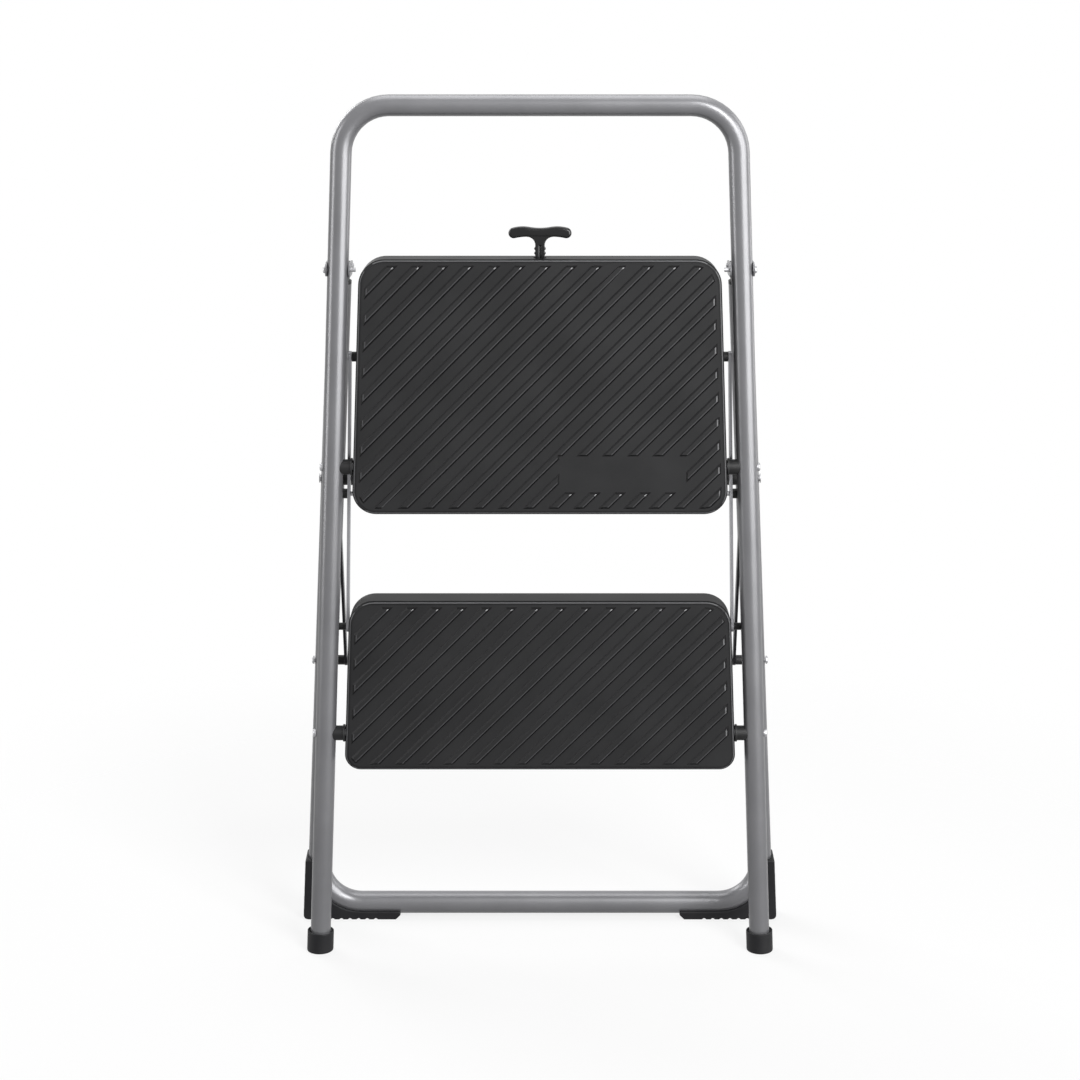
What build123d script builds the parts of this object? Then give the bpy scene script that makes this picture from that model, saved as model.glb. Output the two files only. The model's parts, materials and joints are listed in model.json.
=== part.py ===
import math
import os

from build123d import *

# A folding two-step stool, folded flat and standing on its four feet.
# X runs across the stool, the front faces -Y, Z is up and the floor is Z = 0. Millimetres.
# Pieces are drawn with Y = 0 on the front legs' axes, then set back so that Y = 0 halves the footprint.

# Front frame: an upside-down U of round tube whose legs splay towards the floor
frame_height = 937.0  # floor to the top of the hand rail
foot_half_span = 244.3  # leg axis at the floor, from the middle
rail_half_span = 202.9  # leg axis at the hand rail, from the middle
rail_bend_radius = 50.0
front_tube_d = 22.2
front_tube_wall = 1.2

# Caps on the front legs
cap_d = 29.2
cap_height = 24.0
cap_floor = 6.0
cap_rim_wall = 1.3
cap_rim_depth = 2.5
cap_sole_round = 1.5

# Rear frame: a U of thicker tube, hinged behind the front legs
hinge_z = 757.0
hinge_back = 27.0  # hinge axis behind the front legs' axes
rear_lean = 5.6  # degrees from the front frame while folded
rear_half_span = 255.5  # leg axis at the cross bar, from the middle
rear_bend_radius = 48.0
rear_tube_d = 25.4
rear_tube_wall = 1.2

# Hinge brackets round the front legs, and the rear legs' end plugs
bracket_sheet = 1.6
bracket_height = 15.0
hinge_pin_d = 8.0
hinge_head_d = 10.0
plug_tongue_width = 20.0
plug_tongue_depth = 14.0
plug_drop = 17.0  # hinge axis down to the rear tube's end
plug_collar = 3.0
plug_insert = 28.0

# Corner shoes of the rear frame
shoe_sole = 3.5
shoe_wall = 2.6
shoe_toe_half = 160.0  # inner end of a shoe, from the middle
shoe_nose = 4.5  # height of a toe's end, above its slanted underside
shoe_nose_round = 2.0
shoe_toe_slant = 45.0  # degrees
shoe_edge_out = 5.0  # tube's axis out to the shoe's upper edge, along bar, bend and leg
shoe_heel_round = 5.0
shoe_height = 60.0
tooth_pitch = 9.9
tooth_gap = 3.3
tooth_depth = 1.6

# Steps
top_pivot_z = 547.6
lower_pivot_z = 252.3
step_side_gap = 22.0  # leg axis to a step's side
step_thickness = 35.0
tread_above = 11.0  # tread face in front of the pivot axis while folded
tread_wall = 4.0
skirt_wall = 3.0
step_corner = 28.0  # at a step's rear edge
top_front_corner = 25.0
lower_front_corner = 17.0
tread_edge_round = 3.0
bead_inset = 2.9  # groove that sets a bead off round the tread's face
bead_groove = 1.1
bead_depth = 0.7
top_step_front = 49.6  # pivot axis to the front edge
top_step_rear = 221.4  # pivot axis to the rear edge
lower_step_front = 38.9
lower_step_rear = 150.7
bay_count_across = 5  # ribbed bays under the treads
top_bay_count = 3
lower_bay_count = 2
rib_wall = 2.5
rib_below_edge = 5.0  # ribs end this far inside the skirt's edge
pivot_boss_d = 17.0
pivot_boss_length = 22.0
link_boss_d = 12.0
link_boss_length = 16.0

# Raised ridges on the treads, at 45 degrees
ridge_pitch = 26.6  # along X
ridge_width = 8.4  # across the ridge, at the tread's face
ridge_height = 1.8
ridge_slope = 45.0  # degrees of draft on a ridge's sides
ridge_margin = 6.5
ridge_shortest = 30.0  # corners too small for this length stay plain
top_ridge_shift = 10.2  # a ridge's axis from the middle, halfway up the step
lower_ridge_shift = 14.4
badge_left = 20.4  # plain rectangle at the top step's front right corner
badge_right = 154.5
badge_low = 24.3  # front edge of the step up to the plain rectangle
badge_high = 63.1

# Rivets and bushes of the step pivots
pivot_pin_d = 8.0
pivot_head_d = 9.0
rivet_head_height = 2.2
rivet_head_round = 1.54
pivot_bush_d = 16.2
bush_flange_d = 19.0
bush_flange = 2.0
bracket_rivet_d = 4.6
bracket_head_d = 7.6
bracket_rivet_tail = 5.0

# Links between the steps, and stays to the rear frame
crank_up = 115.4  # step pivot to link pin, along the step
crank_back = 17.5  # step pivot to link pin, away from the tread
link_width = 12.0
link_sheet = 3.0
link_upper_gap = 6.6  # top step's side to the link
link_lower_gap = 1.0  # lower step's side to the link
link_pin_d = 5.0
link_head_d = 9.0
link_head = 0.8  # low, because the rear legs pass it as the stool opens
upper_spacer_d = 10.6
lower_bush_d = 8.0
lower_bush_length = 9.0
stay_pin_drop = 148.0  # upper link pin down to the pin between link and stay
stay_gap = 8.2  # link to stay
stay_rear_drop = 444.6  # hinge axis to the stay's pin, along the rear leg
stay_rivet_d = 5.0
stay_head_d = 9.0
stay_spacer_d = 10.8
stay_spacer_least = 4.0  # shortest spacer between stay and rear leg

# Lock rod on the rear frame
rod_drop = 233.0  # hinge axis to the rod, along the rear leg
rod_d = 6.4
rod_head_d = 10.0
rod_head = 0.8
rod_sleeve_d = 15.0
rod_sleeve_length = 9.0

# T-handle latch, shown pulled out
handle_span = 65.8
handle_end_d = 11.0
handle_top = 32.5  # step's rear edge to the top of the bar
handle_depth = 10.0
handle_round = 3.0
handle_hump = 18.0  # tops of the bar, from the middle
handle_hump_radius = 40.0
handle_dip = 1.6  # middle of the bar below its tops
handle_arch = 1.6  # underside of the bar above its ends
handle_gusset = 8.5
stem_groove = 2.0
stem_groove_depth = 1.4
stem_width = 10.0
stem_depth = 8.0
stem_back = 6.0  # stem axis behind the pivot axis
stem_inside = 75.0  # stem's length inside the step
nub_d = 2.4
hook_sheet = 3.0
hook_half_width = 15.0
hook_drop = 19.0  # step's rear edge to the hook's rear face
hook_lip_length = 12.5
hook_below_skirt = 7.2  # skirt's edge to the hook's lip
hook_tab_height = 15.0
hook_rivet_d = 3.2
hook_rivet_head_d = 5.2
hook_rivet_head = 1.6
hook_rivet_drops = (6.75, 12.0)  # hook's rear face to its rivets
guide_half_width = 14.0
guide_height = 28.0
guide_drop = 49.0  # step's rear edge to the guide's upper end
guide_flange_half = 28.0
guide_flange = 3.0
guide_screw_half = 21.0
guide_boss_d = 9.0
guide_boss_height = 5.0
screw_d = 3.5
screw_head_d = 7.0
screw_head = 1.75

# Clearances
press = 0.05  # radial, pieces fixed to each other
running = 0.08  # radial, pins that turn in holes
side_play = 0.5  # between neighbours that turn past each other
slide_play = 0.3

rail_z = frame_height - front_tube_d / 2
leg_slope = (foot_half_span - rail_half_span) / rail_z
leg_tilt = math.degrees(math.atan(leg_slope))
lean = math.radians(rear_lean)
rear_bar_z = shoe_sole + rear_tube_d / 2
rear_length = (hinge_z - rear_bar_z) / math.cos(lean)
tread_y = -tread_above
skirt_y = step_thickness - tread_above


def leg_x(z):
    return foot_half_span - leg_slope * z


rear_top_half = leg_x(hinge_z)
rear_slope = (rear_half_span - rear_top_half) / rear_length
rear_tilt = math.degrees(math.atan(rear_slope))
rear_place = Location((0, hinge_back, hinge_z), (rear_lean, 0, 0))


def rear_x(drop):
    return rear_top_half + rear_slope * drop


def rear_y(drop):
    return hinge_back + drop * math.sin(lean)


def rear_z(drop):
    return hinge_z - drop * math.cos(lean)


upper_pin_z = top_pivot_z + crank_up
lower_pin_z = lower_pivot_z + crank_up
stay_pin_z = upper_pin_z - stay_pin_drop


def link_x(z, draw_in):
    # middle of a link's sheet, beside steps that are drawn in from the front legs by so much
    upper = leg_x(upper_pin_z) - step_side_gap + link_upper_gap
    lower = leg_x(lower_pin_z) - step_side_gap + link_lower_gap
    share = (z - lower_pin_z) / (upper_pin_z - lower_pin_z)
    return lower + (upper - lower) * share + link_sheet / 2 - draw_in


# The steps are narrower where the rear legs leave links and stays less room
stay_stack = link_sheet / 2 + stay_gap + link_sheet + side_play + stay_spacer_least
stay_room = rear_x(stay_rear_drop) - rear_tube_d / 2 - stay_stack
step_draw_in = max(0, link_x(stay_pin_z, 0) - stay_room)
link_upper_x = link_x(upper_pin_z, step_draw_in)
link_lower_x = link_x(lower_pin_z, step_draw_in)
link_stay_x = link_x(stay_pin_z, step_draw_in)


def step_half(z):
    return leg_x(z) - step_side_gap - step_draw_in


stay_inner_x = link_stay_x + link_sheet / 2 + stay_gap
stay_outer_x = stay_inner_x + link_sheet
top_rear_z = top_pivot_z + top_step_rear
top_front_z = top_pivot_z - top_step_front


# Shared shapes
def along_x(diameter, x_from, x_to, y, z):
    middle = ((x_from + x_to) / 2, y, z)
    return Location(middle, (0, 90, 0)) * Cylinder(diameter / 2, x_to - x_from)


def along_y(diameter, y_from, y_to, x, z):
    middle = (x, (y_from + y_to) / 2, z)
    return Location(middle, (90, 0, 0)) * Cylinder(diameter / 2, y_to - y_from)


def block(x_from, x_to, y_from, y_to, z_from, z_to):
    middle = ((x_from + x_to) / 2, (y_from + y_to) / 2, (z_from + z_to) / 2)
    return Location(middle) * Box(x_to - x_from, y_to - y_from, z_to - z_from)


def front_view(y):
    # sketch plane at depth y, drawn in X and Z and extruded towards the front
    return Plane(origin=(0, y, 0), x_dir=(1, 0, 0), z_dir=(0, -1, 0))


def side_view(x):
    # sketch plane at x, drawn in Y and Z and extruded outwards
    return Plane(origin=(x, 0, 0), x_dir=(0, 1, 0), z_dir=(1, 0, 0))


def on_leg(z):
    return Location((leg_x(z), 0, z), (0, -leg_tilt, 0))


def on_rear_leg(drop):
    return rear_place * Location((rear_x(drop), 0, -drop), (0, -rear_tilt, 0))


def bent_tube(points, radius, outer_d, inner_d):
    path = FilletPolyline(*points, radius=radius)
    ring = Circle(outer_d / 2)
    if inner_d:
        ring = ring - Circle(inner_d / 2)
    start = Plane(origin=points[0], z_dir=Vector(*points[1]) - Vector(*points[0]))
    return sweep(start * ring, path=path)


def headed_pin(shank_d, head_d, x_tail, x_seat, y, z):
    # pin along X with a domed head outside x_seat
    head = along_x(head_d, x_seat, x_seat + rivet_head_height, y, z)
    head = fillet(head.edges().group_by(Axis.X)[-1], rivet_head_round)
    return along_x(shank_d, x_tail, x_seat, y, z) + head


def above_floor(shape):
    reach = 2 * frame_height
    return shape & block(-reach, reach, -reach, reach, 0, reach)


# Front frame
def front_leg_core(z, fit=press):
    return on_leg(z) * Cylinder(front_tube_d / 2 + fit, 6 * front_tube_d)


def front_frame():
    low = cap_floor
    points = [
        (-leg_x(low), 0, low),
        (-rail_half_span, 0, rail_z),
        (rail_half_span, 0, rail_z),
        (leg_x(low), 0, low),
    ]
    inner = front_tube_d - 2 * front_tube_wall
    tube = bent_tube(points, rail_bend_radius, front_tube_d, inner)
    holes = {hinge_z: bracket_rivet_d, top_pivot_z: pivot_pin_d, lower_pivot_z: pivot_pin_d}
    for z, pin_d in holes.items():
        tube -= along_x(pin_d + 2 * press, -2 * foot_half_span, 2 * foot_half_span, 0, z)
    return tube


def front_cap():
    foot = on_leg(0)
    up = (Align.CENTER, Align.CENTER, Align.MIN)
    cap = foot * Location((0, 0, -cap_floor)) * Cylinder(cap_d / 2, cap_floor + cap_height, align=up)
    rim = foot * Location((0, 0, cap_height - cap_rim_depth))
    cap -= rim * Cylinder(cap_d / 2 - cap_rim_wall, cap_rim_depth, align=up)
    seat = on_leg(cap_floor)
    cap -= seat * Cylinder(front_tube_d / 2 + press, cap_height, align=up)
    cap = above_floor(cap)
    return fillet(cap.edges().group_by(Axis.Z)[0], cap_sole_round)


def hinge_bracket():
    inside = front_tube_d / 2 + 2 * press
    outside = inside + bracket_sheet
    slot = SlotCenterToCenter(hinge_back, bracket_height)
    cheek = extrude(side_view(inside) * Location((hinge_back / 2, 0)) * slot, amount=bracket_sheet)
    cheeks = cheek + mirror(cheek, about=Plane.YZ)
    web = block(-outside, outside, inside, outside, -bracket_height / 2, bracket_height / 2)
    bracket = on_leg(hinge_z) * (cheeks + web)
    far = leg_x(hinge_z) + 2 * outside
    bracket -= along_x(bracket_rivet_d + 2 * press, 0, far, 0, hinge_z)
    bracket -= along_x(hinge_pin_d + 2 * press, 0, far, hinge_back, hinge_z)
    return bracket


bracket_reach = front_tube_d / 2 + 2 * press + bracket_sheet + side_play


def hinge_pin():
    x = leg_x(hinge_z)
    seat = x + bracket_reach
    tail = x - bracket_reach - rivet_head_height / 2
    return headed_pin(hinge_pin_d, hinge_head_d, tail, seat, hinge_back, hinge_z)


def bracket_rivet():
    x = leg_x(hinge_z)
    seat = x + bracket_reach
    tail = x - bracket_reach - bracket_rivet_tail
    return headed_pin(bracket_rivet_d, bracket_head_d, tail, seat, 0, hinge_z)


def pivot_rivet(pivot_z):
    seat = leg_x(pivot_z) + front_tube_d / 2 + side_play
    tail = step_half(pivot_z) - pivot_boss_length
    return headed_pin(pivot_pin_d, pivot_head_d, tail, seat, 0, pivot_z)


def pivot_bush(pivot_z):
    start = step_half(pivot_z) + 2 * side_play
    bush = along_x(pivot_bush_d, start, leg_x(pivot_z), 0, pivot_z)
    bush += along_x(bush_flange_d, start, start + bush_flange, 0, pivot_z)
    bush -= front_leg_core(pivot_z)
    return bush - along_x(pivot_pin_d + 2 * press, 0, 2 * foot_half_span, 0, pivot_z)


# Rear frame
def rear_tube(outer_d, inner_d):
    top = plug_drop
    points = [
        (-rear_x(top), 0, -top),
        (-rear_half_span, 0, -rear_length),
        (rear_half_span, 0, -rear_length),
        (rear_x(top), 0, -top),
    ]
    return rear_place * bent_tube(points, rear_bend_radius, outer_d, inner_d)


def rear_leg_core(drop):
    return on_rear_leg(drop) * Cylinder(rear_tube_d / 2 + press, 4 * rear_tube_d)


def rear_frame():
    tube = rear_tube(rear_tube_d, rear_tube_d - 2 * rear_tube_wall)
    for drop, pin_d in {rod_drop: rod_d, stay_rear_drop: stay_rivet_d}.items():
        far = 2 * rear_half_span
        tube -= along_x(pin_d + 2 * press, -far, far, rear_y(drop), rear_z(drop))
    return tube


def rear_plug():
    down = (Align.CENTER, Align.CENTER, Align.MAX)
    up = (Align.CENTER, Align.CENTER, Align.MIN)
    end = Location((0, 0, -plug_drop))
    bore_d = rear_tube_d - 2 * rear_tube_wall
    plug = end * Cylinder(bore_d / 2 - press, plug_insert, align=down)
    plug += end * Cylinder(rear_tube_d / 2, plug_collar, align=up)
    plug += end * Box(plug_tongue_width, plug_tongue_depth, plug_drop, align=up)
    half = plug_tongue_width / 2
    plug += along_x(plug_tongue_depth, -half, half, 0, 0)
    plug = on_rear_leg(0) * plug
    far = rear_top_half + plug_tongue_width
    return plug - along_x(hinge_pin_d + 2 * running, 0, far, hinge_back, hinge_z)


def rear_shoe():
    def beside(rise, out):
        return rear_x(rear_length - rise) + out / math.cos(math.radians(rear_tilt))

    wall = rear_tube_d / 2 + shoe_wall
    low = -rear_tube_d / 2 - 3 * shoe_sole
    nose = -shoe_edge_out - shoe_nose
    slant = math.tan(math.radians(shoe_toe_slant))
    corners = [
        (shoe_toe_half + (nose - low) * slant, low),
        (beside(low, wall), low),
        (beside(shoe_height, wall), shoe_height),
        (beside(shoe_height, shoe_edge_out), shoe_height),
        (beside(-shoe_edge_out, shoe_edge_out), -shoe_edge_out),
        (shoe_toe_half, -shoe_edge_out),
        (shoe_toe_half, nose),
    ]
    edge_bend = rear_bend_radius + shoe_edge_out
    rounds = [0, 0, 0, 0, edge_bend, shoe_nose_round, shoe_nose_round]
    outline = FilletPolyline(*corners, radius=rounds, close=True)
    depth = rear_tube_d + 2 * shoe_wall
    profile = Location((0, -rear_length)) * make_face(outline)
    shoe = rear_place * extrude(front_view(depth / 2) * profile, amount=depth)
    shoe = above_floor(shoe - rear_tube(rear_tube_d + 2 * press, 0))
    heel = shoe.edges().group_by(Axis.Z)[0].sort_by(Axis.X)[-1]
    shoe = fillet(heel, shoe_heel_round)
    bar_y = rear_y(rear_length)
    count = int((rear_half_span - shoe_toe_half) / tooth_pitch)
    for k in range(2, count):
        x = shoe_toe_half + 2 * shoe_sole + k * tooth_pitch
        shoe -= block(x, x + tooth_gap, bar_y - depth, bar_y + depth, 0, tooth_depth)
    return shoe


def lock_rod():
    seat = rear_x(rod_drop) + rear_tube_d / 2 + 2 * side_play
    y, z = rear_y(rod_drop), rear_z(rod_drop)
    half = along_x(rod_d, 0, seat, y, z) + along_x(rod_head_d, seat, seat + rod_head, y, z)
    return half + mirror(half, about=Plane.YZ)


def rod_sleeve():
    y, z = rear_y(rod_drop), rear_z(rod_drop)
    inner = rear_x(rod_drop) - rear_tube_d / 2 - rod_sleeve_length
    sleeve = along_x(rod_sleeve_d, inner, rear_x(rod_drop), y, z) - rear_leg_core(rod_drop)
    return sleeve - along_x(rod_d + 2 * press, 0, 2 * rear_half_span, y, z)


def stay_rivet():
    y, z = rear_y(stay_rear_drop), rear_z(stay_rear_drop)
    seat = rear_x(stay_rear_drop) + rear_tube_d / 2 + 2 * side_play
    inner = stay_inner_x - side_play
    rivet = headed_pin(stay_rivet_d, stay_head_d, inner, seat, y, z)
    return rivet + along_x(stay_head_d, inner - rivet_head_height / 2, inner, y, z)


def stay_spacer():
    y, z = rear_y(stay_rear_drop), rear_z(stay_rear_drop)
    spacer = along_x(stay_spacer_d, stay_outer_x + side_play, rear_x(stay_rear_drop), y, z)
    spacer -= rear_leg_core(stay_rear_drop)
    return spacer - along_x(stay_rivet_d + 2 * press, 0, 2 * rear_half_span, y, z)


# Steps
def step_outline(front_z, rear_z, front_corner, inset):
    low, high = front_z + inset, rear_z - inset
    corners = [
        (-step_half(low) + inset, low),
        (step_half(low) - inset, low),
        (step_half(high) - inset, high),
        (-step_half(high) + inset, high),
    ]
    rounds = [corner - inset for corner in (front_corner, front_corner, step_corner, step_corner)]
    return make_face(FilletPolyline(*corners, radius=rounds, close=True))


def tread_ridges(front_z, rear_z, front_corner, shift, plain):
    # the ridges start a little inside the tread, so their roots are wider than at its face
    root = tread_wall / 4
    spread = root * math.tan(math.radians(ridge_slope))
    reach = 2 * (rear_z - front_z)
    middle = (front_z + rear_z) / 2
    count = int((step_half(front_z) + rear_z - front_z) / ridge_pitch)
    strips = Sketch()
    for k in range(-count, count + 1):
        strip = Rectangle(reach, ridge_width + 2 * spread, rotation=45)
        strips += Location((shift + k * ridge_pitch, middle)) * strip
    field = strips & step_outline(front_z, rear_z, front_corner, ridge_margin - spread)
    ridges = Sketch() + [ridge for ridge in field.faces() if ridge.area > ridge_shortest * ridge_width]
    if plain:
        left, right, low, high = plain
        badge = Rectangle(right - left - 2 * spread, high - low - 2 * spread)
        ridges -= Location(((left + right) / 2, (low + high) / 2)) * badge
    return extrude(front_view(tread_y + root) * ridges, amount=root + ridge_height, taper=ridge_slope)


def ribs(front_z, rear_z, front_corner, bay_count):
    inside = skirt_wall / 2
    deep = extrude(
        front_view(skirt_y - rib_below_edge) * step_outline(front_z, rear_z, front_corner, inside),
        amount=step_thickness - rib_below_edge - tread_wall / 2,
    )
    width, height = 2 * step_half(front_z), rear_z - front_z
    walls = Part()
    for k in range(1, bay_count_across):
        x = width * (k / bay_count_across - 0.5)
        walls += block(x - rib_wall / 2, x + rib_wall / 2, tread_y, skirt_y, front_z, rear_z)
    for k in range(1, bay_count):
        z = front_z + height * k / bay_count
        walls += block(-width, width, tread_y, skirt_y, z - rib_wall / 2, z + rib_wall / 2)
    return walls & deep


def step(pivot_z, front, rear, front_corner, bay_count, ridge_shift, plain=None):
    front_z, rear_z = pivot_z - front, pivot_z + rear
    whole = step_outline(front_z, rear_z, front_corner, 0)
    shell = extrude(front_view(skirt_y) * whole, amount=step_thickness)
    shell = fillet(shell.edges().group_by(Axis.Y)[0], tread_edge_round)
    groove = step_outline(front_z, rear_z, front_corner, bead_inset)
    groove -= step_outline(front_z, rear_z, front_corner, bead_inset + bead_groove)
    shell -= extrude(front_view(tread_y + bead_depth) * groove, amount=2 * bead_depth)
    pocket = step_outline(front_z, rear_z, front_corner, skirt_wall)
    shell -= extrude(front_view(skirt_y) * pocket, amount=step_thickness - tread_wall)
    shell += ribs(front_z, rear_z, front_corner, bay_count)
    pins = [
        (0, pivot_z, pivot_boss_d, pivot_boss_length, pivot_pin_d + 2 * running),
        (crank_back, pivot_z + crank_up, link_boss_d, link_boss_length, link_pin_d + 2 * press),
    ]
    for y, z, boss_d, boss_length, hole_d in pins:
        side = step_half(z)
        boss = along_x(boss_d, side - boss_length, side - skirt_wall / 2, y, z)
        hole = along_x(hole_d, side - boss_length, side + skirt_wall, y, z)
        for one in (boss, mirror(boss, about=Plane.YZ)):
            shell += one
        for one in (hole, mirror(hole, about=Plane.YZ)):
            shell -= one
    return shell + tread_ridges(front_z, rear_z, front_corner, ridge_shift, plain)


def top_step():
    plain = (badge_left, badge_right, top_front_z + badge_low, top_front_z + badge_high)
    sizes = (top_pivot_z, top_step_front, top_step_rear, top_front_corner)
    tread = step(*sizes, top_bay_count, top_ridge_shift, plain)
    half = (stem_width + nub_d) / 2 + slide_play
    deep = stem_depth / 2 + slide_play
    slot_low = top_rear_z - 2 * skirt_wall
    tread -= block(-half, half, stem_back - deep, stem_back + deep, slot_low, top_rear_z + skirt_wall)
    under = tread_y + tread_wall
    for x in (-guide_screw_half, guide_screw_half):
        z = guide_middle()
        tread += along_y(guide_boss_d, under - tread_wall / 2, under + guide_boss_height, x, z)
        tread -= along_y(screw_d + 2 * press, under, under + guide_boss_height, x, z)
    return tread


def lower_step():
    sizes = (lower_pivot_z, lower_step_front, lower_step_rear, lower_front_corner)
    return step(*sizes, lower_bay_count, lower_ridge_shift)


# Links and stays
def link():
    bottom, top = (link_lower_x, lower_pin_z), (link_upper_x, upper_pin_z)
    rise, run = top[1] - bottom[1], top[0] - bottom[0]
    length = math.hypot(rise, run)
    middle = ((bottom[0] + top[0]) / 2, crank_back, (bottom[1] + top[1]) / 2)
    face = Plane(origin=middle, x_dir=(run, 0, rise), z_dir=(rise, 0, -run))
    bar = extrude(face * SlotCenterToCenter(length, link_width), amount=link_sheet / 2, both=True)
    holes = [(upper_pin_z, link_upper_x, running), (lower_pin_z, link_lower_x, running)]
    for z, x, gap in holes + [(stay_pin_z, link_stay_x, press)]:
        bar -= along_x(link_pin_d + 2 * gap, x - link_width, x + link_width, crank_back, z)
    return bar


def upper_link_pin():
    tail = step_half(upper_pin_z) - link_boss_length
    seat = link_upper_x + link_sheet / 2 + slide_play
    head = along_x(link_head_d, seat, seat + link_head, crank_back, upper_pin_z)
    return along_x(link_pin_d, tail, seat, crank_back, upper_pin_z) + head


def upper_spacer():
    start = step_half(upper_pin_z) + side_play
    end = link_upper_x - link_sheet / 2 - side_play
    spacer = along_x(upper_spacer_d, start, end, crank_back, upper_pin_z)
    return spacer - along_x(link_pin_d + 2 * press, start, end, crank_back, upper_pin_z)


lower_bush_start = link_lower_x + link_sheet / 2 + side_play
lower_bush_end = lower_bush_start + lower_bush_length


def lower_link_pin():
    tail = step_half(lower_pin_z) - link_boss_length
    return headed_pin(link_pin_d, lower_bush_d, tail, lower_bush_end, crank_back, lower_pin_z)


def lower_link_bush():
    bush = along_x(lower_bush_d, lower_bush_start, lower_bush_end, crank_back, lower_pin_z)
    bore = along_x(link_pin_d + 2 * press, lower_bush_start, lower_bush_end, crank_back, lower_pin_z)
    return bush - bore


stay_spool_start = link_stay_x + link_sheet / 2 + 3 * press
stay_spool_end = stay_inner_x - side_play


def link_stay_rivet():
    tail = link_stay_x - link_sheet / 2 - 2 * rivet_head_height
    return along_x(link_pin_d, tail, stay_spool_end, crank_back, stay_pin_z)


def link_stay_spacer():
    spacer = along_x(upper_spacer_d, stay_spool_start, stay_spool_end, crank_back, stay_pin_z)
    bore = along_x(link_pin_d + 2 * press, stay_spool_start, stay_spool_end, crank_back, stay_pin_z)
    return spacer - bore


def stay():
    low = (rear_y(stay_rear_drop), rear_z(stay_rear_drop))
    high = (crank_back, stay_pin_z)
    run, rise = high[0] - low[0], high[1] - low[1]
    middle = Location(((low[0] + high[0]) / 2, (low[1] + high[1]) / 2))
    slot = SlotCenterToCenter(
        math.hypot(run, rise), link_width, rotation=math.degrees(math.atan2(rise, run))
    )
    bar = extrude(side_view(stay_inner_x) * middle * slot, amount=link_sheet)
    for y, z in (low, high):
        bar -= along_x(stay_rivet_d + 2 * running, stay_inner_x, stay_outer_x, y, z)
    return bar


# T-handle latch
def guide_middle():
    return top_rear_z - guide_drop - guide_height / 2


def handle_bar(half_gusset):
    # right half of the bar's outline, arcs that run into each other, and the height of its underside
    end_radius = handle_end_d / 2
    top = top_rear_z + handle_top
    hump = Vector(handle_hump, top - handle_hump_radius)
    reach = (handle_hump**2 + handle_dip**2) / (2 * handle_dip)
    dip = Vector(0, top - handle_dip + reach - handle_hump_radius)
    tip = handle_span / 2 - end_radius
    drop = math.sqrt((handle_hump_radius - end_radius) ** 2 - (tip - handle_hump) ** 2)
    end = Vector(tip, hump.Y + drop)
    under = end.Y - end_radius + handle_arch
    side = tip - half_gusset
    arch_radius = (side**2 + (end_radius - handle_arch) ** 2 - end_radius**2) / (2 * handle_arch)
    arch = Vector(half_gusset, under - arch_radius)
    middle = Vector(0, top - handle_dip)
    dip_end = hump + (dip - hump).normalized() * handle_hump_radius
    hump_end = hump + (end - hump).normalized() * handle_hump_radius
    tip_end = end + (arch - end).normalized() * end_radius
    arch_end = Vector(half_gusset, under)

    def between(centre, first, last):
        direction = ((first + last) * 0.5 - centre).normalized()
        return centre + direction * (first - centre).length

    outline = [
        ThreePointArc(middle, between(dip, middle, dip_end), dip_end),
        ThreePointArc(dip_end, between(hump, dip_end, hump_end), hump_end),
        ThreePointArc(hump_end, end + Vector(end_radius, 0), tip_end),
        ThreePointArc(tip_end, between(arch, tip_end, arch_end), arch_end),
    ]
    return outline, under


def t_handle():
    half, deep = stem_width / 2, stem_depth / 2
    wide = half + handle_gusset
    outline, gusset_z = handle_bar(wide)
    outline += [mirror(edge, about=Plane.YZ) for edge in outline]
    outline.append(Line((-wide, gusset_z), (wide, gusset_z)))
    face = make_face(outline)
    bar = extrude(front_view(stem_back + handle_depth / 2) * face, amount=handle_depth)
    handle = fillet(bar.edges().group_by(Axis.Y)[0] + bar.edges().group_by(Axis.Y)[-1], handle_round)
    gusset = Location((0, gusset_z)) * Rectangle(2 * wide, 2 * handle_gusset)
    for x in (-wide, wide):
        gusset -= Location((x, gusset_z - handle_gusset)) * Circle(handle_gusset)
    gusset -= Location((0, gusset_z + handle_gusset)) * Rectangle(3 * wide, handle_gusset)
    handle += extrude(front_view(stem_back + deep) * gusset, amount=stem_depth)
    handle += block(-half, half, stem_back - deep, stem_back + deep, top_rear_z - stem_inside, gusset_z)
    groove_y = stem_back - deep + stem_groove_depth
    groove_top = gusset_z - handle_gusset
    handle -= block(
        -stem_groove / 2, stem_groove / 2, stem_back - deep, groove_y, top_rear_z - stem_groove, groove_top
    )
    for x in (-half, half):
        for z in (top_rear_z + 2 * nub_d, top_rear_z + 4 * nub_d):
            handle += along_y(nub_d, stem_back - deep, stem_back + deep, x, z)
    for z in hook_rivet_heights():
        handle -= along_y(hook_rivet_d + 2 * press, stem_back - deep, stem_back + deep, 0, z)
    return handle


hook_rear_z = top_rear_z - hook_drop
hook_face_y = stem_back + stem_depth / 2
hook_end_y = skirt_y + hook_below_skirt + hook_sheet


def hook_rivet_heights():
    return [hook_rear_z - drop for drop in hook_rivet_drops]


def latch_hook():
    half = hook_half_width
    leg = block(-half, half, hook_face_y, hook_end_y, hook_rear_z - hook_sheet, hook_rear_z)
    lip_low = hook_rear_z - hook_sheet - hook_lip_length
    lip = block(-half, half, hook_end_y - hook_sheet, hook_end_y, lip_low, hook_rear_z)
    tab_low = hook_rear_z - hook_tab_height
    tab = block(-half / 2, half / 2, hook_face_y, hook_face_y + hook_sheet, tab_low, hook_rear_z)
    hook = leg + lip + tab
    for z in hook_rivet_heights():
        hook -= along_y(hook_rivet_d + 2 * press, hook_face_y, hook_face_y + hook_sheet, 0, z)
    return hook


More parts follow.
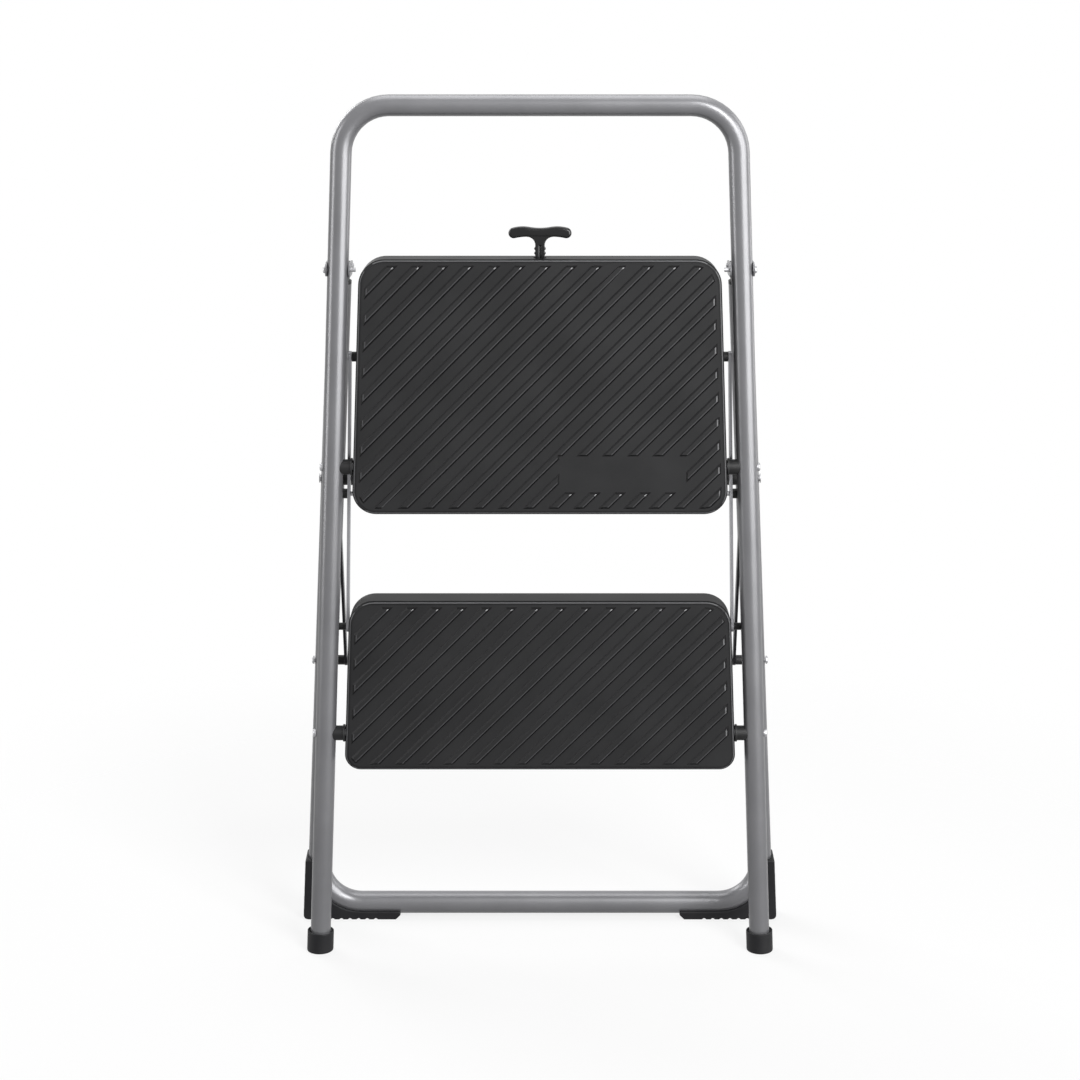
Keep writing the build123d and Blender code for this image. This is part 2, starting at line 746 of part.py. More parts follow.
def hook_rivets():
    rivets = Part()
    front = stem_back - stem_depth / 2
    back = hook_face_y + hook_sheet
    for z in hook_rivet_heights():
        rivets += along_y(hook_rivet_d, front, back, 0, z)
        rivets += along_y(hook_rivet_head_d, back, back + hook_rivet_head, 0, z)
    return rivets


def latch_guide():
    middle = guide_middle()
    low, high = middle - guide_height / 2, middle + guide_height / 2
    front = tread_y + tread_wall + guide_boss_height
    back = stem_back + stem_depth / 2 + 2 * guide_flange
    half = guide_half_width
    guide = block(-half, half, front, back, low, high)
    wide = guide_flange_half
    guide += block(-wide, wide, front, front + guide_flange, middle - half, middle + half)
    room, deep = stem_width / 2 + slide_play, stem_depth / 2 + slide_play
    guide -= block(-room, room, stem_back - deep, stem_back + deep, low, high)
    for x in (-guide_screw_half, guide_screw_half):
        guide -= along_y(screw_d + 2 * press, front, front + guide_flange, x, middle)
    return guide


def guide_screws():
    screws = Part()
    face = tread_y + tread_wall + guide_boss_height + guide_flange
    for x in (-guide_screw_half, guide_screw_half):
        z = guide_middle()
        screws += along_y(screw_d, tread_y + tread_wall + press, face, x, z)
        screws += along_y(screw_head_d, face, face + screw_head, x, z)
    return screws


def both_sides(right):
    return Part() + [right, mirror(right, about=Plane.YZ)]


nodes = {
    "front_frame": front_frame(),
    "rear_frame": rear_frame(),
    "lock_rod": lock_rod(),
    "top_step": top_step(),
    "lower_step": lower_step(),
    "t_handle": t_handle(),
    "latch_hook": latch_hook(),
    "hook_rivets": hook_rivets(),
    "latch_guide": latch_guide(),
    "guide_screws": guide_screws(),
    "bracket_rivets": both_sides(bracket_rivet()),
    "rear_hinge_pins": both_sides(hinge_pin()),
    "top_pivot_rivets": both_sides(pivot_rivet(top_pivot_z)),
    "lower_pivot_rivets": both_sides(pivot_rivet(lower_pivot_z)),
    "stay_rivets": both_sides(stay_rivet()),
    "upper_link_pins": both_sides(upper_link_pin()),
    "lower_link_pins": both_sides(lower_link_pin()),
}
pairs = {
    "front_cap": front_cap(),
    "hinge_bracket": hinge_bracket(),
    "top_pivot_bush": pivot_bush(top_pivot_z),
    "lower_pivot_bush": pivot_bush(lower_pivot_z),
    "rear_plug": rear_plug(),
    "rear_shoe": rear_shoe(),
    "rod_sleeve": rod_sleeve(),
    "stay_spacer": stay_spacer(),
    "step_link": link(),
    "upper_link_spacer": upper_spacer(),
    "lower_link_bush": lower_link_bush(),
    "link_stay_rivet": link_stay_rivet(),
    "link_stay_spacer": link_stay_spacer(),
    "stay": stay(),
}
for name, right in pairs.items():
    nodes[name + "_right"] = right
    nodes[name + "_left"] = mirror(right, about=Plane.YZ)

boxes = [shape.bounding_box() for shape in nodes.values()]
footprint_middle = (min(box.min.Y for box in boxes) + max(box.max.Y for box in boxes)) / 2
set_back = Location((0, -footprint_middle, 0))
os.makedirs("parts", exist_ok=True)
for name, shape in nodes.items():
    export_step(shape.moved(set_back), f"parts/{name}.step")
print(len(nodes), "nodes, front legs", round(footprint_middle, 3), "mm ahead of the middle")
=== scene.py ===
# Folding two-step stool: the looks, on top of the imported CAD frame
import json
import math

import bpy
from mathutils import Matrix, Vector

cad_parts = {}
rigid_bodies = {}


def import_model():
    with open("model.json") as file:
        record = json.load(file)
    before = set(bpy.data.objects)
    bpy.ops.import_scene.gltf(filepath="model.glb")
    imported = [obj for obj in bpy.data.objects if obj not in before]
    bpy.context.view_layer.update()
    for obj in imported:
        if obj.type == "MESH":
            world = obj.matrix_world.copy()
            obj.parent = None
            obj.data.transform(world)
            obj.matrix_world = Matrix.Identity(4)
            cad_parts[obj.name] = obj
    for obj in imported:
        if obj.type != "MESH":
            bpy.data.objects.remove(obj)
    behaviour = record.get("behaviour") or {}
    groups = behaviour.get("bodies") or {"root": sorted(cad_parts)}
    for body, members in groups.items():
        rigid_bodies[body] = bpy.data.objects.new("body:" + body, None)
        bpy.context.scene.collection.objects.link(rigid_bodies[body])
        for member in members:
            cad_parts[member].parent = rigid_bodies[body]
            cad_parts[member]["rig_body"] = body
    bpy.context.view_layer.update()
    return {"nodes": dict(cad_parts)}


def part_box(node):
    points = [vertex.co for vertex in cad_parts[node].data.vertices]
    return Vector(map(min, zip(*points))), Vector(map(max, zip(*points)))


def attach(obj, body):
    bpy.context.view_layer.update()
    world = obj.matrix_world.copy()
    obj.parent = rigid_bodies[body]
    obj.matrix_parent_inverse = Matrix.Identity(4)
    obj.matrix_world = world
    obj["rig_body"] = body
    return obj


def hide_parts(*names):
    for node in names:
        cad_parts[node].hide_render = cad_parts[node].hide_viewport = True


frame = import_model()
nodes = frame["nodes"]
mm = 0.001
print("frame loaded,", len(nodes), "parts")


def linear(hexColour):
    parts = [int(hexColour[i : i + 2], 16) / 255 for i in (1, 3, 5)]
    return [c / 12.92 if c <= 0.04045 else ((c + 0.055) / 1.055) ** 2.4 for c in parts] + [1.0]


def outOf(source):  # a node stands for its first live output
    if isinstance(source, bpy.types.Node):
        return next(out for out in source.outputs if out.enabled)
    return source


def addNode(tree, kind, settings=None, links=None):
    node = tree.nodes.new(kind)
    for key, value in (settings or {}).items():
        if isinstance(key, str) and key[0].islower():  # a setting of the node, not a socket
            setattr(node, key, value)
        else:
            node.inputs[key].default_value = value
    for key, source in (links or {}).items():
        tree.links.new(outOf(source), node.inputs[key])
    return node


def newFinish(name):
    finish = bpy.data.materials.new(name)
    finish.use_nodes = True
    tree = finish.node_tree
    place = addNode(tree, "ShaderNodeTexCoord").outputs["Object"]
    return finish, tree, tree.nodes["Principled BSDF"], place


def setTones(ramp, tones, toneAt):
    for stop, tone, at in zip(ramp.color_ramp.elements, tones, toneAt):
        stop.position = at
        stop.color = linear(tone)


def dress(tree, shader, colour, rough, bump):
    for socket, source in (("Base Color", colour), ("Roughness", rough), ("Normal", bump)):
        tree.links.new(outOf(source), shader.inputs[socket])


# Powder-coated steel tube, satin silver: most of the light scatters in the coat, so the round
# shades off to dark, and its skin mirrors the lamps as soft streaks, with a faint orange peel.
tubeCoat = {
    "tones": ("#7c7c7f", "#868689"),
    "toneAt": (0.36, 0.64),
    "metallic": 0.15,
    "rough": (0.29, 0.35),
    "mottleMm": 45,
    "flakeMm": 0.5,  # real flake is nearer 0.05 mm, drawn coarser to show
    "peelMm": 2.4,
    "peelHeightMm": 0.01,
    "peelStrength": 0.25,
}


def makeTubeCoat():
    finish, tree, shader, place = newFinish("powderCoatedSteelSatinSilver")
    mottle, flake, peel = [
        addNode(
            tree,
            "ShaderNodeTexNoise",
            {"Scale": 1000 / tubeCoat[size], "Detail": detail},
            {"Vector": place},
        )
        for size, detail in (("mottleMm", 3.0), ("flakeMm", 1.0), ("peelMm", 2.0))
    ]
    both = addNode(tree, "ShaderNodeMath", {"operation": "ADD"}, {0: mottle, 1: flake})
    mean = addNode(tree, "ShaderNodeMath", {"operation": "MULTIPLY", 1: 0.5}, {0: both})
    ramp = addNode(tree, "ShaderNodeValToRGB", links={"Fac": mean})
    setTones(ramp, tubeCoat["tones"], tubeCoat["toneAt"])
    low, high = tubeCoat["rough"]
    rough = addNode(tree, "ShaderNodeMapRange", {"To Min": low, "To Max": high}, {"Value": mottle})
    bump = addNode(
        tree,
        "ShaderNodeBump",
        {"Strength": tubeCoat["peelStrength"], "Distance": tubeCoat["peelHeightMm"] * mm},
        {"Height": peel},
    )
    shader.inputs["Metallic"].default_value = tubeCoat["metallic"]
    dress(tree, shader, ramp, rough, bump)
    return finish


# Black plastics and rubber, one row each: its two close colours, roughness, and the mould's grain
# in millimetres. "edge" is the colour of its corners: a painted edge highlight, on the small parts
# together with wear.
blacks = {
    "mouldedPolypropyleneCharcoal": {  # treads: dry charcoal, spark-eroded grain, sides in painted shade
        "tones": ("#2e2e2f", "#343435"),
        "rough": (0.42, 0.54),
        "shine": 0.12,
        "grainMm": 0.9,
        "heightMm": 0.06,
        "cloudMm": 60,
        # painted highlight on the round of the tread's rim
        "edge": "#747476",
        # painted shade on the tread's sides and the ridges' flanks
        "shadedSide": "#121213",
        "litUpperFlank": "#262627",  # painted light on the ridges' flanks that face up and left
        # painted highlight: pale line along the ridges' right edges and on their ends
        "paintedHighlight": "#525254",
        # painted glints at the ridges' tips
        "tip": "#c4c4c6",
    },
    "nylonBlack": {  # bushes, spacers, plugs: a little shine, fine grain
        "tones": ("#131314", "#1a1a1b"),
        "rough": (0.42, 0.52),
        "shine": 0.25,
        "grainMm": 0.6,
        "heightMm": 0.03,
        "cloudMm": 25,
        "edge": "#2c2c2d",
    },
    "rubberBlack": {  # caps and shoes: dull, slightly dusty
        "tones": ("#17171a", "#202022"),
        "rough": (0.50, 0.66),
        "shine": 0.2,
        "grainMm": 0.8,
        "heightMm": 0.05,
        "cloudMm": 18,
        "edge": "#303032",
    },
    "absBlack": {  # T-handle: smooth moulding, polished by the hand to small clear glints
        "tones": ("#141415", "#1a1a1b"),
        "rough": (0.2, 0.28),
        "shine": 0.28,
        "grainMm": 0.7,
        "heightMm": 0.01,
        "cloudMm": 20,
        "edge": "#2e2e2f",
    },
}
blackMould = {
    "toneAt": (0.35, 0.65),
    "grainStrength": 0.35,
    "ior": 1.49,
    "wearAndSheen": (0.53, 0.62),  # pointiness at which a corner starts to show its wear and painted edge highlight, and shows them fully
}

# Rows of ridges on the treads, in millimetres: they run up to the right at 45 degrees. Thin pale
# lines along their right edges and on their ends, and bright tips, are painted highlights and
# glints.
ridges = {
    "pitch": 26.6,  # along X
    "halfTop": 2.4,
    "skin": 0.3,  # depth below the ridges' tops that still gets the painted highlight
    "line": 1.0,
    "endAt": 213.7,  # |x| at the floor of the line on which the ridges end, and its lean
    "lean": 0.0447,
    "endInset": 8.3,  # rear edge of the tread to the ridges' upper ends
    # size of the painted glints at the ridges' tips
    "tip": 1.8,
    "rim": 5.0,  # plain rim round the rows, where the tread's edge gets a painted highlight
    "rowShift": {"top_step": 10.2, "lower_step": 14.4},
    "short": (20.4, 142.0),  # X range of the top step's short ridges, below its plain rectangle
    "shortEnd": 24.3,  # front edge of the step to their upper ends
    "rightEnds": 0.45,  # brightness of the painted highlight on the ends on the right, as a share of the tips' glints
}


def paintRidgeHighlights(tree, place, tread):
    low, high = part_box(tread)
    middleZ = (low[2] + high[2]) / 2
    x, y, z = addNode(tree, "ShaderNodeSeparateXYZ", links={0: place}).outputs
    tipSize = ridges["tip"] * mm

    # painted highlight, a pale line along each ridge's right edge: where a point lies across its
    # row, in pitches
    perPitch = 1000 / ridges["pitch"]
    rowAt = (ridges["rowShift"][tread] * mm - middleZ) * perPitch
    slope = (perPitch, 0, -perPitch)
    across = addNode(
        tree, "ShaderNodeVectorMath", {"operation": "DOT_PRODUCT", 1: slope}, {0: place}
    )
    row = addNode(tree, "ShaderNodeMath", {"operation": "SUBTRACT", 1: rowAt}, {0: across})
    inRow = addNode(tree, "ShaderNodeMath", {"operation": "FRACT"}, {0: row})
    diagonal = math.sqrt(2) / ridges["pitch"]
    halfLine = ridges["line"] / 2
    line = addNode(
        tree,
        "ShaderNodeMath",
        {
            "operation": "COMPARE",
            1: (ridges["halfTop"] - halfLine) * diagonal,
            2: halfLine * diagonal,
        },
        {0: inRow},
    )

    # only the tops of the ridges get the painted highlight, along the line and at their side ends
    skinY = low[1] + ridges["skin"] * mm
    raised = addNode(tree, "ShaderNodeMath", {"operation": "LESS_THAN", 1: skinY}, {0: y})
    aside = addNode(tree, "ShaderNodeMath", {"operation": "ABSOLUTE"}, {0: x})
    reach = addNode(
        tree, "ShaderNodeMath", {"operation": "MULTIPLY_ADD", 1: ridges["lean"]}, {0: z, 2: aside}
    )
    endX = (ridges["endAt"] - ridges["line"]) * mm
    end = addNode(tree, "ShaderNodeMath", {"operation": "GREATER_THAN", 1: endX}, {0: reach})
    either = addNode(tree, "ShaderNodeMath", {"operation": "MAXIMUM"}, {0: line, 1: end})
    paintedHighlight = addNode(tree, "ShaderNodeMath", {"operation": "MULTIPLY"}, {0: either, 1: raised})

    # painted glints at the tips, where the line meets the upper ends, and a dimmer painted
    # highlight on the ends on the right
    tipZ = high[2] - ridges["endInset"] * mm - tipSize
    top = addNode(tree, "ShaderNodeMath", {"operation": "GREATER_THAN", 1: tipZ}, {0: z})
    if tread == "top_step":
        shortZ = low[2] + ridges["shortEnd"] * mm - tipSize
        left, right = [edge * mm for edge in ridges["short"]]
        below = addNode(
            tree, "ShaderNodeMath", {"operation": "COMPARE", 1: shortZ, 2: tipSize}, {0: z}
        )
        beside = addNode(
            tree,
            "ShaderNodeMath",
            {"operation": "COMPARE", 1: (left + right) / 2, 2: (right - left) / 2},
            {0: x},
        )
        short = addNode(tree, "ShaderNodeMath", {"operation": "MULTIPLY"}, {0: below, 1: beside})
        top = addNode(tree, "ShaderNodeMath", {"operation": "MAXIMUM"}, {0: top, 1: short})
    tip = addNode(tree, "ShaderNodeMath", {"operation": "MULTIPLY"}, {0: line, 1: top})
    onRight = addNode(tree, "ShaderNodeMath", {"operation": "GREATER_THAN", 1: 0.0}, {0: x})
    dimmer = addNode(
        tree, "ShaderNodeMath", {"operation": "MULTIPLY", 1: ridges["rightEnds"]}, {0: onRight}
    )
    rightEnd = addNode(tree, "ShaderNodeMath", {"operation": "MULTIPLY"}, {0: dimmer, 1: end})
    tip = addNode(tree, "ShaderNodeMath", {"operation": "MAXIMUM"}, {0: tip, 1: rightEnd})
    tip = addNode(tree, "ShaderNodeMath", {"operation": "MULTIPLY"}, {0: tip, 1: raised})

    # the field of ridges inside the rim
    halfHigh = (high[2] - low[2]) / 2 - ridges["rim"] * mm
    fieldX = (ridges["endAt"] + ridges["rim"] / 2) * mm
    inner = addNode(
        tree, "ShaderNodeMath", {"operation": "COMPARE", 1: middleZ, 2: halfHigh}, {0: z}
    )
    within = addNode(tree, "ShaderNodeMath", {"operation": "LESS_THAN", 1: fieldX}, {0: reach})
    field = addNode(tree, "ShaderNodeMath", {"operation": "MULTIPLY"}, {0: inner, 1: within})
    return paintedHighlight, tip, field


# Two ways that a tread's surface may face, and the cosines to them at which its colour changes
treadTurn = {
    "foot": (0, -1, 0),  # straight at the foot
    "round": (0.78, 0.88),  # from the painted-shade side to the painted edge highlight
    "flat": (0.95, 0.985),  # from the painted edge highlight to the grained face
    "under": -0.3,  # the underside
    "upward": (-0.707, 0, 0.707),  # up and to the left, as the ridges' upper flanks lean
    "flank": (0.5, 0.65),  # from the painted-shade side to painted light on the flank
}


# Where the tread faces the foot it keeps the grained tone; its sides get painted shade, the round
# between the two a painted highlight, and the ridges' flanks that face up and left a painted light,
# lighter than the shaded sides.
def treadColour(tree, place, look, grained, tread):
    paintedHighlight, tip, field = paintRidgeHighlights(tree, place, tread)
    normal = place.node.outputs["Normal"]
    facing, upward = [
        addNode(
            tree,
            "ShaderNodeVectorMath",
            {"operation": "DOT_PRODUCT", 1: treadTurn[way]},
            {0: normal},
        )
        for way in ("foot", "upward")
    ]
    turn, flat = [
        addNode(
            tree,
            "ShaderNodeMapRange",
            {"interpolation_type": "SMOOTHSTEP", "From Min": start, "From Max": full},
            {"Value": facing},
        )
        for start, full in (treadTurn["round"], treadTurn["flat"])
    ]
    under = addNode(
        tree, "ShaderNodeMath", {"operation": "LESS_THAN", 1: treadTurn["under"]}, {0: facing}
    )
    # painted light: flanks that face up and to the left are lighter
    towardLight = addNode(tree, "ShaderNodeMath", {"operation": "MULTIPLY"}, {0: upward, 1: field})
    start, full = treadTurn["flank"]
    flank = addNode(
        tree, "ShaderNodeMapRange", {"From Min": start, "From Max": full}, {"Value": towardLight}
    )
    highlightTone, tipTone, shadedSideTone, litFlankTone, edgeHighlightTone = [
        linear(look[tone]) for tone in ("paintedHighlight", "tip", "shadedSide", "litUpperFlank", "edge")
    ]
    blend = {"data_type": "RGBA"}  # socket 0 chooses between 6 and 7
    # painted highlights on the ridges' tops: pale lines and ends, then bright glints at their tips
    face = addNode(tree, "ShaderNodeMix", {**blend, 7: highlightTone}, {0: paintedHighlight, 6: grained})
    face = addNode(tree, "ShaderNodeMix", {**blend, 7: tipTone}, {0: tip, 6: face})
    # painted shade on the sides and the ridges' flanks, with painted light on the flanks that face
    # up and left
    shadedSide = addNode(tree, "ShaderNodeMix", {**blend, 6: shadedSideTone, 7: litFlankTone}, {0: flank})
    shadedSide = addNode(tree, "ShaderNodeMix", blend, {0: under, 6: shadedSide, 7: grained})
    # painted highlight on the round of the tread's rim
    edge = addNode(tree, "ShaderNodeMix", {**blend, 6: edgeHighlightTone}, {0: field, 7: face})
    corner = addNode(tree, "ShaderNodeMix", blend, {0: turn, 6: shadedSide, 7: edge})
    return addNode(tree, "ShaderNodeMix", blend, {0: flat, 6: corner, 7: face})


def makeBlack(name, tread=None):
    look = blacks[name]
    finish, tree, shader, place = newFinish(name)
    cloud, grain = [
        addNode(
            tree,
            "ShaderNodeTexNoise",
            {"Scale": 1000 / look[size], "Detail": detail},
            {"Vector": place},
        )
        for size, detail in (("cloudMm", 4.0), ("grainMm", 2.0))
    ]
    ramp = addNode(tree, "ShaderNodeValToRGB", links={"Fac": cloud})
    setTones(ramp, look["tones"], blackMould["toneAt"])
    if tread:
        colour = treadColour(tree, place, look, ramp, tread)
    else:
        # corners lighter by pointiness: wear together with a painted edge highlight
        bulge = addNode(tree, "ShaderNodeNewGeometry").outputs["Pointiness"]
        start, full = blackMould["wearAndSheen"]
        wearAndSheen = addNode(
            tree, "ShaderNodeMapRange", {"From Min": start, "From Max": full}, {"Value": bulge}
        )
        edge = linear(look["edge"])
        colour = addNode(
            tree, "ShaderNodeMix", {"data_type": "RGBA", 7: edge}, {0: wearAndSheen, 6: ramp}
        )
    low, high = look["rough"]
    rough = addNode(tree, "ShaderNodeMapRange", {"To Min": low, "To Max": high}, {"Value": cloud})
    bump = addNode(
        tree,
        "ShaderNodeBump",
        {"Strength": blackMould["grainStrength"], "Distance": look["heightMm"] * mm},
        {"Height": grain},
    )
    shader.inputs["IOR"].default_value = blackMould["ior"]
    shader.inputs["Specular IOR Level"].default_value = look["shine"]
    dress(tree, shader, colour, rough, bump)
    return finish


# Bare steels: rolling or drawing marks run along a strip, so its grain is stretched.
steels = {
    "zincPlatedSteel": {  # rivets, pins, rod: bright, with a soft haze
        "tones": ("#8c8c8e", "#a6a6a8"),
        "rough": (0.36, 0.46),
        "grainMm": (0.8, 0.8, 0.8),
        "cloudMm": 12,
    },
    "coldRolledSteelStrip": {  # links: mid grey with lengthwise rolling lines
        "tones": ("#7d7d80", "#909093"),
        "rough": (0.34, 0.46),
        "grainMm": (0.5, 0.5, 25),
        "cloudMm": 30,
    },
    "blackOxideSteel": {  # stays: nearly black, oily sheen
        "tones": ("#2a2a2c", "#3a3a3c"),
        "rough": (0.36, 0.48),
        "grainMm": (0.5, 0.5, 20),
        "cloudMm": 30,
    },
}
steelSkin = {"toneAt": (0.3, 0.7), "grainStrength": 0.2, "grainHeightMm": 0.02}


def makeSteel(name):
    look = steels[name]
    finish, tree, shader, place = newFinish(name)
    stretch = [1000 / size for size in look["grainMm"]]
    along = addNode(tree, "ShaderNodeMapping", {"Scale": stretch}, {"Vector": place})
    grain = addNode(tree, "ShaderNodeTexNoise", {"Scale": 1.0, "Detail": 2.0}, {"Vector": along})
    cloudScale = 1000 / look["cloudMm"]
    cloud = addNode(
        tree, "ShaderNodeTexNoise", {"Scale": cloudScale, "Detail": 3.0}, {"Vector": place}
    )
    ramp = addNode(tree, "ShaderNodeValToRGB", links={"Fac": grain})
    setTones(ramp, look["tones"], steelSkin["toneAt"])
    low, high = look["rough"]
    rough = addNode(tree, "ShaderNodeMapRange", {"To Min": low, "To Max": high}, {"Value": cloud})
    bump = addNode(
        tree,
        "ShaderNodeBump",
        {"Strength": steelSkin["grainStrength"], "Distance": steelSkin["grainHeightMm"] * mm},
        {"Height": grain},
    )
    shader.inputs["Metallic"].default_value = 1.0
    dress(tree, shader, ramp, rough, bump)
    return finish


finishes = {"tube": makeTubeCoat()}
for name in ("nylonBlack", "rubberBlack", "absBlack"):
    finishes[name] = makeBlack(name)
for name in ("top_step", "lower_step"):
    finishes[name] = makeBlack("mouldedPolypropyleneCharcoal", name)
for name in steels:
    finishes[name] = makeSteel(name)
finishOfSlot = {
    "satin_tube": "tube",
    "black_moulding": "nylonBlack",
    "black_rubber": "rubberBlack",
    "black_grip": "absBlack",
    "zinc_steel": "zincPlatedSteel",
    "dark_steel": "blackOxideSteel",
}
for name, part in nodes.items():
    choice = finishOfSlot[part.data.materials[0].name]
    if name.startswith("step_link"):
        choice = "coldRolledSteelStrip"
    if name in finishes:  # each tread has its own
        choice = name
    part.data.materials[0] = finishes[choice]
print("finishes set on", len(nodes), "parts")

weld = 0.002 * mm  # joins the loose triangles of a CAD mesh


def mergedCopy(node, name):
    bpy.ops.object.select_all(action="DESELECT")
    piece = bpy.data.objects.new(name, nodes[node].data.copy())
    bpy.context.scene.collection.objects.link(piece)
    bpy.context.view_layer.objects.active = piece
    piece.select_set(True)
    bpy.ops.mesh.customdata_custom_splitnormals_clear()
    bpy.ops.object.mode_set(mode="EDIT")
    bpy.ops.mesh.select_all(action="SELECT")
    bpy.ops.mesh.remove_doubles(threshold=weld)
    bpy.ops.object.mode_set(mode="OBJECT")
    return piece


def standIn(piece, node):
    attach(piece, nodes[node]["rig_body"])
    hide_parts(node)
    print(piece.name, len(piece.data.polygons), "faces")


# Treads: broad faces stay flat beside the rounds, which are smooth
treadPiece = {
    "names": {"top_step": "topTread", "lower_step": "lowerTread"},
    "sameFace": 0.5,  # degrees
    "sharpFrom": 20,
    "flatWeight": 100,
}
for node, name in treadPiece["names"].items():
    piece = mergedCopy(node, name)
    bpy.ops.object.mode_set(mode="EDIT")
    bpy.ops.mesh.select_all(action="SELECT")
    bpy.ops.mesh.dissolve_limited(angle_limit=math.radians(treadPiece["sameFace"]))
    bpy.ops.object.mode_set(mode="OBJECT")
    bpy.ops.object.shade_smooth_by_angle(angle=math.radians(treadPiece["sharpFrom"]))
    flat = piece.modifiers.new("flat", "WEIGHTED_NORMAL")
    flat.weight = treadPiece["flatWeight"]
    flat.keep_sharp = True
    bpy.ops.object.modifier_apply(modifier="flat")
    standIn(piece, node)

# Rubber and grip pieces: moulded in one flow, so their corners run into each other
softMould = {
    "t_handle": {"name": "tHandle", "slot": "black_grip", "voxelMm": 0.45, "passes": 6},
    "front_cap_left": {"name": "capLeft", "slot": "black_rubber", "voxelMm": 0.7, "passes": 5},
    "front_cap_right": {"name": "capRight", "slot": "black_rubber", "voxelMm": 0.7, "passes": 5},
    "rear_shoe_left": {"name": "shoeLeft", "slot": "black_rubber", "voxelMm": 0.9, "passes": 5},
    "rear_shoe_right": {"name": "shoeRight", "slot": "black_rubber", "voxelMm": 0.9, "passes": 5},
}
softening = 0.5  # how far each pass evens the skin out
for node, look in softMould.items():
    piece = mergedCopy(node, look["name"])
    skin = piece.modifiers.new("skin", "REMESH")
    skin.mode = "VOXEL"
    skin.voxel_size = look["voxelMm"] * mm
    bpy.ops.object.modifier_apply(modifier="skin")
    flow = piece.modifiers.new("flow", "SMOOTH")
    flow.factor = softening
    flow.iterations = look["passes"]
    bpy.ops.object.modifier_apply(modifier="flow")
    bpy.ops.object.shade_smooth()
    standIn(piece, node)

# Camera: in front, a little above the top step, looking down
shot = {
    "away": 2.451,
    "height": 1.031,
    "down": 12.4,  # degrees
    "lens": 76.9,
    "sensor": 36,
    "shiftY": -0.03,
    "clipEnd": 50,
}
bpy.ops.object.camera_add(
    location=(0, -shot["away"], shot["height"]),
    rotation=(math.radians(90 - shot["down"]), 0, 0),
)
camera = bpy.context.object
camera.data.lens = shot["lens"]
camera.data.sensor_width = shot["sensor"]
camera.data.shift_y = shot["shiftY"]
camera.data.clip_end = shot["clipEnd"]
bpy.context.scene.camera = camera

# Lamps: a key from the upper right, a softer one behind and a weak one straight above. The strip
# on the left and the box on the right are what the tubes mirror as two streaks, and the strip
# behind on the right clears their right edges. These three show only in reflections.
lampAim = Vector((0, 0, 0.55))  # middle of the stool
lamps = {
    "key": {"at": (1.3, -2.5, 2.25), "size": (1.2, 1.2), "watts": 84, "onMatt": True},
    "leftStrip": {"at": (-2.25, -0.55, 0.95), "size": (0.8, 1.9), "watts": 34, "onMatt": False},
    "rightBox": {"at": (1.75, -1.6, 0.95), "size": (2.4, 1.9), "watts": 125, "onMatt": False},
    "rightStrip": {"at": (2.2, 0.9, 1.2), "size": (0.9, 2.0), "watts": 20, "onMatt": False},
    "back": {"at": (-2.0, 2.0, 2.0), "size": (1.6, 1.6), "watts": 45, "onMatt": True},
    "overhead": {"at": (0, 0.3, 2.6), "size": (1.6, 1.6), "watts": 26, "onMatt": True},
}
for name, lamp in lamps.items():
    turn = (lampAim - Vector(lamp["at"])).to_track_quat("-Z", "Y").to_euler()
    bpy.ops.object.light_add(type="AREA", location=lamp["at"], rotation=turn)
    light = bpy.context.object
    light.name = name
    light.data.shape = "RECTANGLE"
    light.data.size, light.data.size_y = lamp["size"]
    light.data.energy = lamp["watts"]
    light.visible_diffuse = lamp["onMatt"]


def seenDirectly(tree):  # by the camera, in a reflection or through something clear
    rays = addNode(tree, "ShaderNodeLightPath").outputs
    seen = rays["Is Camera Ray"]
    for kind in ("Is Glossy Ray", "Is Transmission Ray"):
        seen = addNode(tree, "ShaderNodeMath", {"operation": "MAXIMUM"}, {0: seen, 1: rays[kind]})
    return seen


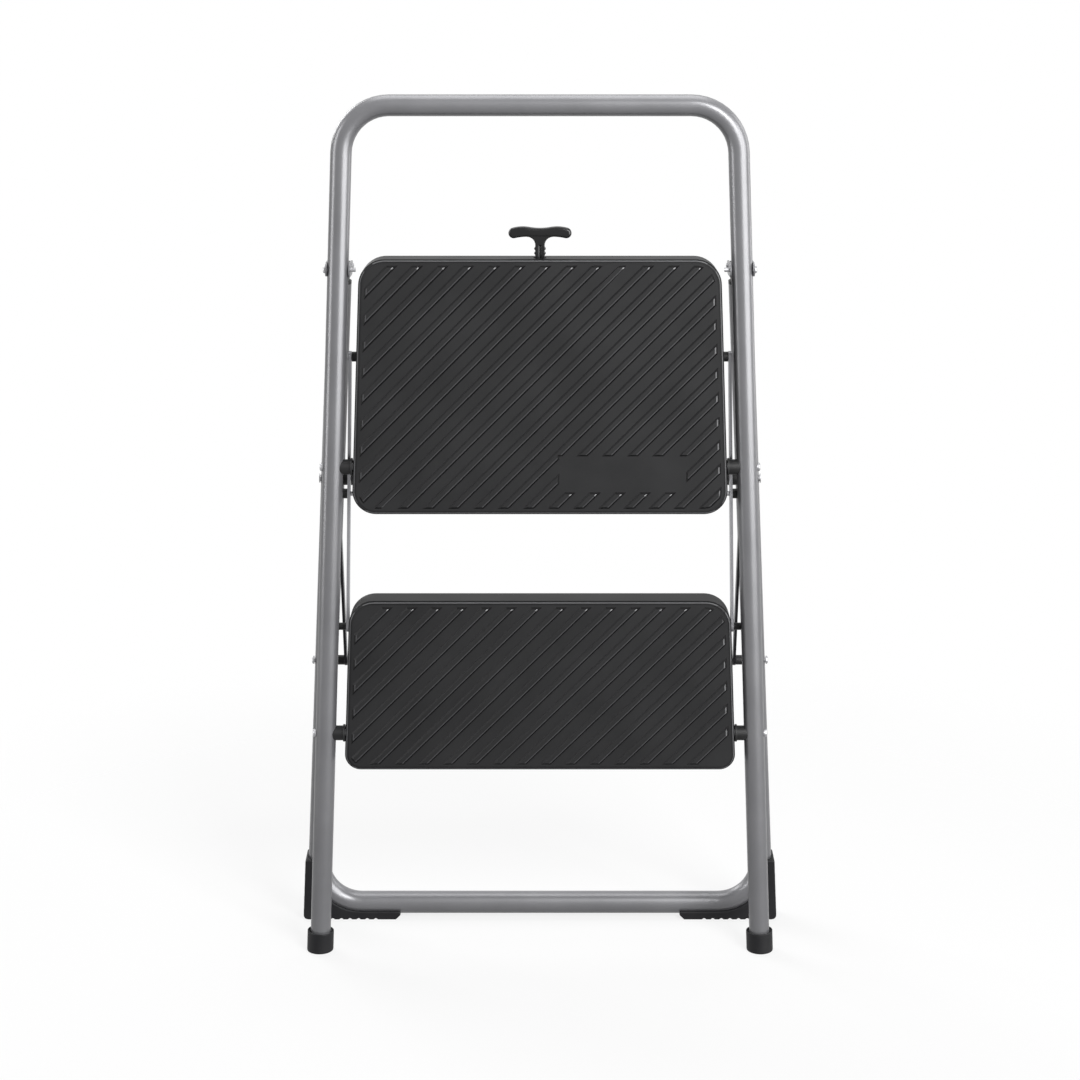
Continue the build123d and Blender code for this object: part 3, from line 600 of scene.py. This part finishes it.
# World: soft fill for the object, plain white where the camera or a reflection sees it
surround = {"white": "#ffffff", "fillLevel": 0.17, "seenLevel": 1.0}
world = bpy.data.worlds.new("studio")
bpy.context.scene.world = world
world.use_nodes = True
tree = world.node_tree
tree.nodes.clear()
fill, white = [
    addNode(
        tree,
        "ShaderNodeBackground",
        {"Color": linear(surround["white"]), "Strength": surround[level]},
    )
    for level in ("fillLevel", "seenLevel")
]
both = addNode(tree, "ShaderNodeMixShader", links={0: seenDirectly(tree), 1: fill, 2: white})
addNode(tree, "ShaderNodeOutputWorld", links={"Surface": both})

# Floor: matt white paper that runs out into the white around it. Seen directly or in a
# reflection it is near white with the stool's shadow on it. It throws little light back up.
floorSheet = {
    "radius": 1.4,
    "corners": 96,
    "colour": "#f4f4f4",
    "bounce": "#606060",
    "rough": 0.9,
    "shine": 0.1,
    "glow": 0.8,
    "clear": 0.55,  # metres from the middle to where it starts to fade
    "gone": 1.2,  # and to where it has faded out
}
bpy.ops.object.select_all(action="DESELECT")
bpy.ops.mesh.primitive_circle_add(
    vertices=floorSheet["corners"],
    radius=floorSheet["radius"],
    fill_type="NGON",
    location=(0, 0, 0),
)
floor = bpy.context.object
floor.name = "floor"
finish, tree, shader, place = newFinish("paperWhite")
seen = seenDirectly(tree)
bounce, colour = linear(floorSheet["bounce"]), linear(floorSheet["colour"])
paper = addNode(tree, "ShaderNodeMix", {"data_type": "RGBA", 6: bounce, 7: colour}, {0: seen})
tree.links.new(outOf(paper), shader.inputs["Base Color"])
shader.inputs["Roughness"].default_value = floorSheet["rough"]
shader.inputs["Specular IOR Level"].default_value = floorSheet["shine"]
white = addNode(
    tree,
    "ShaderNodeEmission",
    {"Color": linear(surround["white"]), "Strength": surround["seenLevel"]},
)
glow = addNode(tree, "ShaderNodeMath", {"operation": "MULTIPLY", 1: floorSheet["glow"]}, {0: seen})
sheet = addNode(tree, "ShaderNodeMixShader", links={0: glow, 1: shader, 2: white})
far = addNode(tree, "ShaderNodeVectorMath", {"operation": "LENGTH"}, {0: place})
fade = addNode(
    tree,
    "ShaderNodeMapRange",
    {
        "interpolation_type": "SMOOTHSTEP",
        "From Min": floorSheet["clear"],
        "From Max": floorSheet["gone"],
    },
    {"Value": far},
)
through = addNode(tree, "ShaderNodeBsdfTransparent")
mix = addNode(tree, "ShaderNodeMixShader", links={0: fade, 1: sheet, 2: through})
tree.links.new(outOf(mix), tree.nodes["Material Output"].inputs["Surface"])
floor.data.materials.append(finish)
bpy.context.scene.view_settings.view_transform = "Standard"
print("camera, lamps and floor in place")
